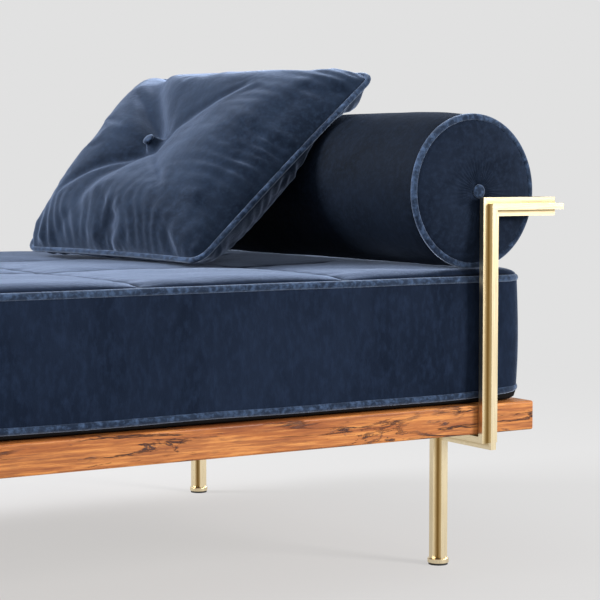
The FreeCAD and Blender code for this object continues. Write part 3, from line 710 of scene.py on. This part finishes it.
def keep_off_bars(points, sign):
    """Plump the roll upwards, and press the fabric flat where the mattress and bars touch it."""
    points[:, 2] = ROLL_REST + (points[:, 2] - ROLL_REST) * plumpness(points[:, 1])
    points[:, 2] = np.maximum(points[:, 2], mattress_high.z + TOUCH)
    level = points[:, 2]
    rib_low = (cross_low.z + cross_high.z - RIB_WIDTH) / 2
    rib_high = rib_low + RIB_WIDTH
    at_cross_rib = (level > rib_low - 0.002) & (level < rib_high + 0.002)
    limit = np.where(at_cross_rib, cross_low.x - TOUCH, cross_low.x + 0.004)
    points[:, 0] = sign * np.minimum(np.abs(points[:, 0]), limit)
    at_side_rib = (level > rib_low - 0.001) & (level < rib_high + 0.001)
    limit = np.where(at_side_rib, -bar_high_y - TOUCH, -bar_high_y + 0.008)
    points[:, 1] = np.sign(points[:, 1]) * np.minimum(np.abs(points[:, 1]), limit)
    return points


def roll_profile(radius, ring_y):
    """The roll's section as (radius, y) points: a dimpled dome, the tube, the other dome."""
    cap = []
    for i in range(CAP_STEPS + 1):
        share = i / CAP_STEPS
        dome = DOME * (1 - share ** 2) ** 0.62
        dimple = DIMPLE * math.exp(-(share * radius / DIMPLE_WIDTH) ** 2)
        cap.append((share * (radius - CAP_INSET), ring_y + dome - dimple))
    tube = []
    for i in range(1, TUBE_STEPS):
        y = ring_y * (1 - 2 * i / TUBE_STEPS)
        swell = TUBE_SWELL * (1 - math.exp(-(ring_y - abs(y)) / 0.02))
        tube.append((radius - TUBE_INSET + swell, y))
    return cap + tube + [(r, -y) for r, y in reversed(cap)]


def soften_roll(points, centre, radius, ring_y, seed):
    """Pleats round the buttons, puckers at the piping, and the soft dents of a filled tube."""
    away = points - np.array(centre)
    spread = np.hypot(away[:, 0], away[:, 2])
    angle = np.arctan2(away[:, 2], away[:, 0])
    on_end = np.abs(away[:, 1]) > ring_y - 1e-4
    share = np.clip(spread / radius, 0, 1)
    pleats = np.sin(angle * 46 + 3 * field(points, 16.0, 5.0))
    round_button = np.exp(-((spread - 0.026) / 0.022) ** 2)
    ripple = pleats * 0.0011 * np.where(on_end, 0.5 * share ** 4 + round_button, 0)
    points[:, 1] += np.sign(away[:, 1]) * ripple
    soft = field(points, 7.0, seed) * 0.0014 + field(points, 22.0, 8.0) * 0.0006
    near_piping = np.exp(-np.abs(ring_y - np.abs(away[:, 1])) / 0.018)
    puckers = np.sin(angle * 60 + 4 * field(points, 12.0, 3.0)) * 0.0006 * near_piping
    press = np.where(on_end, soft * share ** 2 * 0.3, soft * 0.8 - 0.0006 + puckers)
    grow = 1 + press / np.maximum(spread, 0.02)
    points[:, 0] = centre.x + away[:, 0] * grow
    points[:, 2] = centre.z + away[:, 2] * grow


def sew_bolster(side, sign):
    """One bolster's cover and its two lines of piping: its middle, and how far out they lie."""
    low, high = (Vector(p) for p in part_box(f"bolster_{side}"))
    centre = (low + high) / 2
    radius = (high.x - low.x) / 2
    ring_y = high.y - END_DISC_INSET
    roll = add_piece(f"bolster_{side}_cover",
                     lathe_about_y(roll_profile(radius, ring_y), centre, SPIN_STEPS),
                     shaded_velvet, cap_velvet)
    for face in roll.data.polygons:
        face.material_index = int(abs(face.center.y) > ring_y - 0.0005)
    points = read_points(roll.data)
    soften_roll(points, centre, radius, ring_y, 6.0 + sign)
    write_points(roll.data, keep_off_bars(points, sign))
    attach(roll, f"bolster_{side}")
    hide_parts(f"bolster_{side}")
    welt_radius = radius - WELT_INSET
    for end, way in (("front", -1), ("rear", 1)):
        ring = []
        for i in range(WELT_STEPS):
            turn = 2 * math.pi * i / WELT_STEPS
            ring.append((centre.x + welt_radius * math.cos(turn), way * ring_y,
                         centre.z + welt_radius * math.sin(turn)))
        welt = piped_loop(f"bolster_{side}_{end}_piping", ring, BOLSTER_WELT, lit_piping_velvet)
        write_points(welt.data, keep_off_bars(read_points(welt.data), sign))
        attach(welt, f"bolster_{side}")
    return centre, ring_y


def covered_button(centre, outward):
    """A cloth-covered button: a low dome whose rim tucks under, gathered at the back."""
    profile = []
    for i in range(BUTTON_STEPS + 1):
        angle = math.pi / 2 * i / BUTTON_STEPS
        profile.append((BUTTON_RADIUS * math.sin(angle) ** 0.8,
                        BUTTON_HEIGHT * (0.45 + 0.55 * math.cos(angle))))
    profile += [(BUTTON_RADIUS * 0.96, BUTTON_HEIGHT * 0.22), (BUTTON_RADIUS * 0.7, 0.0),
                (0.0, -0.0005)]
    bm = lathe_about_y(profile, Vector((0, 0, 0)), BUTTON_SPIN)
    turn = Vector((0, 1, 0)).rotation_difference(Vector(outward)).to_matrix().to_4x4()
    bmesh.ops.transform(bm, matrix=Matrix.Translation(centre) @ turn, verts=bm.verts)
    return bm


def join_bmeshes(first, second):
    """Put the second mesh into the first."""
    spare = bpy.data.meshes.new("spare")
    second.to_mesh(spare)
    second.free()
    first.from_mesh(spare)
    bpy.data.meshes.remove(spare)
    return first


for side, sign in (("left", -1), ("right", 1)):
    middle, ring_y = sew_bolster(side, sign)
    seat = ring_y + DOME - BUTTON_SUNK
    level = mattress_high.z + (middle.z - mattress_high.z) * PLUMP
    pair = join_bmeshes(covered_button(Vector((middle.x, -seat, level)), (0, -1, 0)),
                        covered_button(Vector((middle.x, seat, level)), (0, 1, 0)))
    buttons = add_piece(f"bolster_{side}_covered_buttons", pair, lit_piping_velvet)
    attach(buttons, f"bolster_{side}")
    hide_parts(f"bolster_{side}_buttons")


# ------------------------------------------------------------------ pillow
# A square feather pillow: two velvet panels sewn together over piping, filled, and drawn in near
# the middle by a covered button on each face.  It leans back on the right-hand bolster.
# The four seam corners, near and far from the front, and the way the upper panel faces.
NEAR_LOW, NEAR_HIGH = np.array((0.5550, -0.1895, 0.4545)), np.array((0.8641, -0.1945, 0.7380))
FAR_HIGH, FAR_LOW = np.array((0.7661, 0.3817, 0.7480)), np.array((0.4790, 0.2638, 0.4590))
FACE_WAY = np.array((-0.6826, -0.1290, 0.7193))
PILLOW_CELLS, PANEL_HALF = 84, 0.27
PILLOW_CORNER = 0.030
PILLOW_WELT = 0.0046
BUTTON_AT = np.array((0.12, 0.00))             # on a panel that runs from -1 to 1
BUTTON_HOLD, BUTTON_DEPTH = 0.0105, 0.074
PILLOW_BUTTON_SUNK = 0.0035
FILL_FRAMES, FILL_PRESSURE = 24, 4.0
FULLNESS = 0.082
SEAM_BOW = 0.020                   # how far the middle of an edge is drawn in, as a share
CLOTH_HEIGHT, CLOTH_OUTLINE = 0.78, 0.60       # shares of the shape that the cloth decides
PILLOW_GAP = 0.1098                # from the bolster's middle line to the pillow
PILLOW_FLOOR = mattress_high.z + 0.0012
CREASES = (((0.74, 0.97), 0.10, 0.027), ((0.40, -0.66), 0.11, 0.018))      # end, width, depth
# Painted light: the pillow's copy of the velvet has a lighter pile colour for the light on its
# face.
lit_pillow_velvet = velvet_pile("lit_pillow_velvet", navy=(0.0045, 0.0095, 0.0210),
                            pile=(0.0120, 0.0215, 0.0420), tint=(0.46, 0.58, 0.84), sheen=1.0,
                            spread=0.36)


def flat_pillow():
    """Two square panels, joined along their edges and held a little apart."""
    bm = bmesh.new()
    for way in (1, -1):
        made = bmesh.ops.create_grid(bm, x_segments=PILLOW_CELLS, y_segments=PILLOW_CELLS,
                                     size=PANEL_HALF)
        for vert in made["verts"]:
            x, y = vert.co.x / PANEL_HALF, vert.co.y / PANEL_HALF
            vert.co.z = way * 0.05 * max(0.0, (1 - x * x) * (1 - y * y)) ** 0.6
    bmesh.ops.remove_doubles(bm, verts=bm.verts, dist=1e-5)
    bmesh.ops.recalc_face_normals(bm, faces=bm.faces)
    if bm.calc_volume(signed=True) < 0:
        bmesh.ops.reverse_faces(bm, faces=bm.faces)
    return bm


def inflate(piece, pinned):
    """Fill the cover: run cloth under pressure with the button's points held, keep the result."""
    group = piece.vertex_groups.new(name="held")
    group.add(pinned, 1.0, "REPLACE")
    cloth = piece.modifiers.new("fill", "CLOTH")
    cloth.settings.quality = 6
    cloth.settings.mass = 0.25
    cloth.settings.tension_stiffness = 18
    cloth.settings.compression_stiffness = 12
    cloth.settings.shear_stiffness = 6
    cloth.settings.bending_stiffness = 1.0
    cloth.settings.use_pressure = True
    cloth.settings.uniform_pressure_force = FILL_PRESSURE
    cloth.settings.effector_weights.gravity = 0
    cloth.settings.vertex_group_mass = "held"
    cloth.collision_settings.use_collision = False
    cloth.point_cache.frame_start = 1
    cloth.point_cache.frame_end = FILL_FRAMES
    for step in range(1, FILL_FRAMES + 1):
        bpy.context.scene.frame_set(step)
    result = final_mesh(piece)
    piece.modifiers.remove(cloth)
    bpy.context.scene.frame_set(1)
    write_points(piece.data, read_points(result))
    bpy.data.meshes.remove(result)


def straighten_edges(flat, points):
    """Carry the seams back onto nearly straight lines, and everything between with them."""
    across, tall = flat[:, 0] / PANEL_HALF, flat[:, 1] / PANEL_HALF
    moved = points.copy()
    wanted = np.stack([across * (1 - SEAM_BOW * (1 - tall ** 2)),
                       tall * (1 - SEAM_BOW * (1 - across ** 2))], axis=1)
    error = wanted * PANEL_HALF - points[:, :2]
    corners = [(i, j) for i in (-1, 1) for j in (-1, 1)]
    at_corner = {}
    for i, j in corners:
        off = np.hypot(flat[:, 0] - i * PANEL_HALF, flat[:, 1] - j * PANEL_HALF)
        at_corner[i, j] = error[np.argmin(off)]
    lines = {}
    for axis in (0, 1):
        for end in (-1, 1):
            on = np.where(np.abs(flat[:, axis] - end * PANEL_HALF) < 1e-5)[0]
            on = on[np.argsort(flat[on, 1 - axis])]
            where = flat[on, 1 - axis] / PANEL_HALF
            lines[axis, end] = [np.interp((tall, across)[axis], where, error[on, k])
                                for k in (0, 1)]
    for k in (0, 1):
        ruled = (1 - across) / 2 * lines[0, -1][k] + (1 + across) / 2 * lines[0, 1][k]
        ruled += (1 - tall) / 2 * lines[1, -1][k] + (1 + tall) / 2 * lines[1, 1][k]
        for i, j in corners:
            ruled -= (1 + i * across) / 2 * (1 + j * tall) / 2 * at_corner[i, j][k]
        moved[:, k] += ruled
    return moved


def even_out(flat, points):
    """Blend the simulated filling with an even one, which keeps the pillow's corners full."""
    reach = np.abs(flat[:, :2] / PANEL_HALF)
    even = np.prod(np.clip(1 - reach ** 2.1, 0, 1) ** 0.62, axis=1) * np.sign(flat[:, 2])
    loose = points[:, 2] / np.abs(points[:, 2]).max()
    outline = flat[:, :2] * (1 - SEAM_BOW * (1 - reach[:, ::-1] ** 2))
    points[:, :2] = (1 - CLOTH_OUTLINE) * outline + CLOTH_OUTLINE * points[:, :2]
    points[:, 2] = FULLNESS * ((1 - CLOTH_HEIGHT) * even + CLOTH_HEIGHT * loose)


def crease(place, start, end, width, depth):
    """How deep a valley drawn from the button to an edge or a corner is at every point."""
    run = np.array(end) - start
    along = np.clip((place - start) @ run / (run @ run), 0, 1)
    away = np.linalg.norm(place - start - along[:, None] * run, axis=1)
    past_button = 1 - np.exp(-(np.linalg.norm(place - start, axis=1) / 0.13) ** 2)
    return depth * np.exp(-(away / width) ** 2) * (1 - 0.55 * along) * past_button


def fold_pillow(points):
    """Valleys that the button pulls, and gathers where the filling strains at the seams."""
    place = points[:, :2] / PANEL_HALF
    across, tall = place.T
    body = np.clip(np.abs(points[:, 2]) / 0.03, 0, 1)
    sink = sum(crease(place, BUTTON_AT, *valley) for valley in CREASES)
    wander = field(points, 11.0, 2.0)
    fade = field(points, 7.0, 5.0) + 0.6
    for edge, run, reach, size in ((1 + tall, across, 0.14, 0.0085),
                                   (1 + across, tall, 0.17, 0.0056),
                                   (1 - tall, across, 0.08, 0.0016),
                                   (1 - across, tall, 0.10, 0.0030)):
        sink += size * np.sin(run * 58 + 6 * wander) * np.exp(-edge / reach) * fade
    sink += 0.0012 * field(points, 26.0, 7.0)
    points[:, 2] -= np.sign(points[:, 2]) * np.minimum(sink * body, np.abs(points[:, 2]) * 0.75)


def place_on_bed(points):
    """Carry the filled pillow to its leaning outline, and press it off what it lies against."""
    across, tall = points[:, 0:1] / PANEL_HALF, points[:, 1:2] / PANEL_HALF
    low = (1 - across) / 2 * NEAR_LOW + (1 + across) / 2 * FAR_LOW
    high = (1 - across) / 2 * NEAR_HIGH + (1 + across) / 2 * FAR_HIGH
    placed = (1 - tall) / 2 * low + (1 + tall) / 2 * high + points[:, 2:3] * FACE_WAY
    roll_low, roll_high = (Vector(p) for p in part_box("bolster_right"))
    roll = (roll_low + roll_high) / 2
    taller = plumpness(placed[:, 1])
    placed[:, 2] = ROLL_REST + (placed[:, 2] - ROLL_REST) / taller
    dx, dz = placed[:, 0] - roll.x, placed[:, 2] - roll.z
    gap = np.hypot(dx, dz)
    push = np.where(gap < PILLOW_GAP, PILLOW_GAP / np.maximum(gap, 1e-6), 1.0)
    placed[:, 0] = roll.x + dx * push
    placed[:, 2] = roll.z + dz * push
    placed[:, 2] = ROLL_REST + (placed[:, 2] - ROLL_REST) * taller
    under = placed[:, 2] < PILLOW_FLOOR
    placed[:, 2] = np.where(under, PILLOW_FLOOR + (placed[:, 2] - PILLOW_FLOOR) * 0.02,
                            placed[:, 2])
    return placed


pillow = add_piece("pillow_cover", flat_pillow(), lit_pillow_velvet)
flat = read_points(pillow.data)
points = flat.copy()
from_button = points[:, :2] - BUTTON_AT * PANEL_HALF
held = np.where(np.hypot(from_button[:, 0], from_button[:, 1]) < BUTTON_HOLD)[0]
points[held, 2] = np.sign(points[held, 2]) * BUTTON_DEPTH
write_points(pillow.data, points)
rim = np.where(np.abs(flat[:, :2]).max(axis=1) > PANEL_HALF - 1e-5)[0]
rim = rim[np.argsort(np.arctan2(flat[rim, 1], flat[rim, 0]))]
inflate(pillow, [int(i) for i in held])
points = straighten_edges(flat, read_points(pillow.data))
even_out(flat, points)
points[rim, 2] = 0
fold_pillow(points)
points[:, 0], points[:, 1] = round_corners(points[:, 0], points[:, 1], PANEL_HALF, PANEL_HALF,
                                           PILLOW_CORNER)
placed = place_on_bed(points)
write_points(pillow.data, placed)
pillow.data.flip_normals()
smooth = pillow.modifiers.new("smooth", "SUBSURF")
smooth.levels = smooth.render_levels = 1
welt = piped_loop("pillow_piping", [tuple(placed[i]) for i in rim], PILLOW_WELT, lit_piping_velvet)
out_of_face = Vector(FACE_WAY)
front_seat = Vector(placed[[i for i in held if points[i, 2] > 0]].mean(axis=0))
back_seat = Vector(placed[[i for i in held if points[i, 2] < 0]].mean(axis=0))
pair = join_bmeshes(covered_button(front_seat - out_of_face * PILLOW_BUTTON_SUNK, out_of_face),
                    covered_button(back_seat + out_of_face * PILLOW_BUTTON_SUNK, -out_of_face))
pillow_buttons = add_piece("pillow_covered_buttons", pair, lit_piping_velvet)
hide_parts("pillow")
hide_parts("pillow_buttons")
for piece in (pillow, welt, pillow_buttons):
    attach(piece, "pillow")
